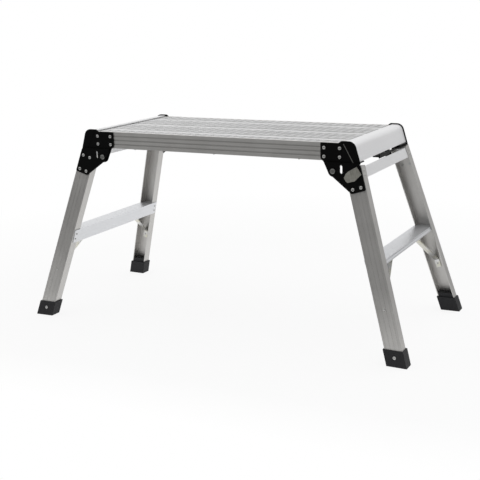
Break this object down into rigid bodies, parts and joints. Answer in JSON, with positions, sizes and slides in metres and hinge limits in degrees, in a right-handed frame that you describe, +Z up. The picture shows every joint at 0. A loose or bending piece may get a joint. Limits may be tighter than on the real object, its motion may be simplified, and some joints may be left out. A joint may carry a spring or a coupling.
{
  "type": "folding work platform",
  "caption": "Folding aluminium work platform with a ribbed deck, splayed leg frames that fold under it on black hinge brackets, mid steps, latch levers and dark boots.",
  "frame": {"origin": "on the floor, under the middle of the deck", "axes": "+X along the deck, +Y across it to the rear, +Z up"},
  "size_m": [1.0614, 0.4886, 0.505],
  "materials": {
    "rail": "grooved mill-finish extrusion, warm grey",
    "leg": "finely grooved mill-finish channel, warm grey",
    "tread": "ribbed bright extrusion",
    "end_cap": "rolled bright sheet",
    "bright_sheet": "folded bright sheet",
    "black_bracket": "gloss black enamel on pressed steel",
    "fastener": "zinc-plated steel",
    "zinc_brace": "yellowish zinc-plated strip",
    "boot": "matt charcoal rubber",
    "nylon": "plain nylon",
    "badge": "blank beige-grey cover"
  },
  "bodies": {
    "deck": {"center_cross_bar": "bright_sheet", "cross_bar_rivets": "fastener", "end_cap_rivets": "fastener", "front_left_hinge_plate": "black_bracket", "front_plank": "tread", "front_rail": "rail", "front_right_hinge_plate": "black_bracket", "hinge_plate_rivets": "fastener", "left_cross_bar": "bright_sheet", "left_end_cap": "end_cap", "middle_plank": "tread", "pivot_bolts": "fastener", "pivot_nuts": "fastener", "pivot_washers": "nylon", "rear_left_hinge_plate": "black_bracket", "rear_plank": "tread", "rear_rail": "rail", "rear_right_hinge_plate": "black_bracket", "right_cross_bar": "bright_sheet", "right_end_cap": "end_cap"},
    "right_frame": {"blank_badge": "badge", "front_right_boot": "boot", "front_right_brace": "zinc_brace", "front_right_leg": "leg", "front_right_leg_plate": "black_bracket", "rear_right_boot": "boot", "rear_right_brace": "zinc_brace", "rear_right_leg": "leg", "rear_right_leg_plate": "black_bracket", "right_bar_rivets": "fastener", "right_boot_rivets": "fastener", "right_brace_rivets": "fastener", "right_latch_rivet": "fastener", "right_plate_rivets": "fastener", "right_step": "bright_sheet", "right_step_rivets": "fastener", "right_top_bar": "bright_sheet"},
    "left_frame": {"front_left_boot": "boot", "front_left_brace": "zinc_brace", "front_left_leg": "leg", "front_left_leg_plate": "black_bracket", "left_bar_rivets": "fastener", "left_boot_rivets": "fastener", "left_brace_rivets": "fastener", "left_latch_rivet": "fastener", "left_plate_rivets": "fastener", "left_step": "bright_sheet", "left_step_rivets": "fastener", "left_top_bar": "bright_sheet", "rear_left_boot": "boot", "rear_left_brace": "zinc_brace", "rear_left_leg": "leg", "rear_left_leg_plate": "black_bracket"},
    "right_latch": {"right_latch_lever": "black_bracket"},
    "left_latch": {"left_latch_lever": "black_bracket"}
  },
  "joints": [
    {"name": "right_leg_fold", "type": "hinge", "parent": "deck", "child": "right_frame", "pos_m": [0.322, 0, 0.435], "axis": [0, 1, 0], "range_deg": [0, 116]},
    {"name": "left_leg_fold", "type": "hinge", "parent": "deck", "child": "left_frame", "pos_m": [-0.322, 0, 0.435], "axis": [0, -1, 0], "range_deg": [0, 104.5]},
    {"name": "right_latch_turn", "type": "hinge", "parent": "right_frame", "child": "right_latch", "pos_m": [0.372, 0.163, 0.452], "axis": [0, 0, -1], "range_deg": [0, 12]},
    {"name": "left_latch_turn", "type": "hinge", "parent": "left_frame", "child": "left_latch", "pos_m": [-0.372, -0.163, 0.452], "axis": [0, 0, -1], "range_deg": [0, 12]}
  ]
}
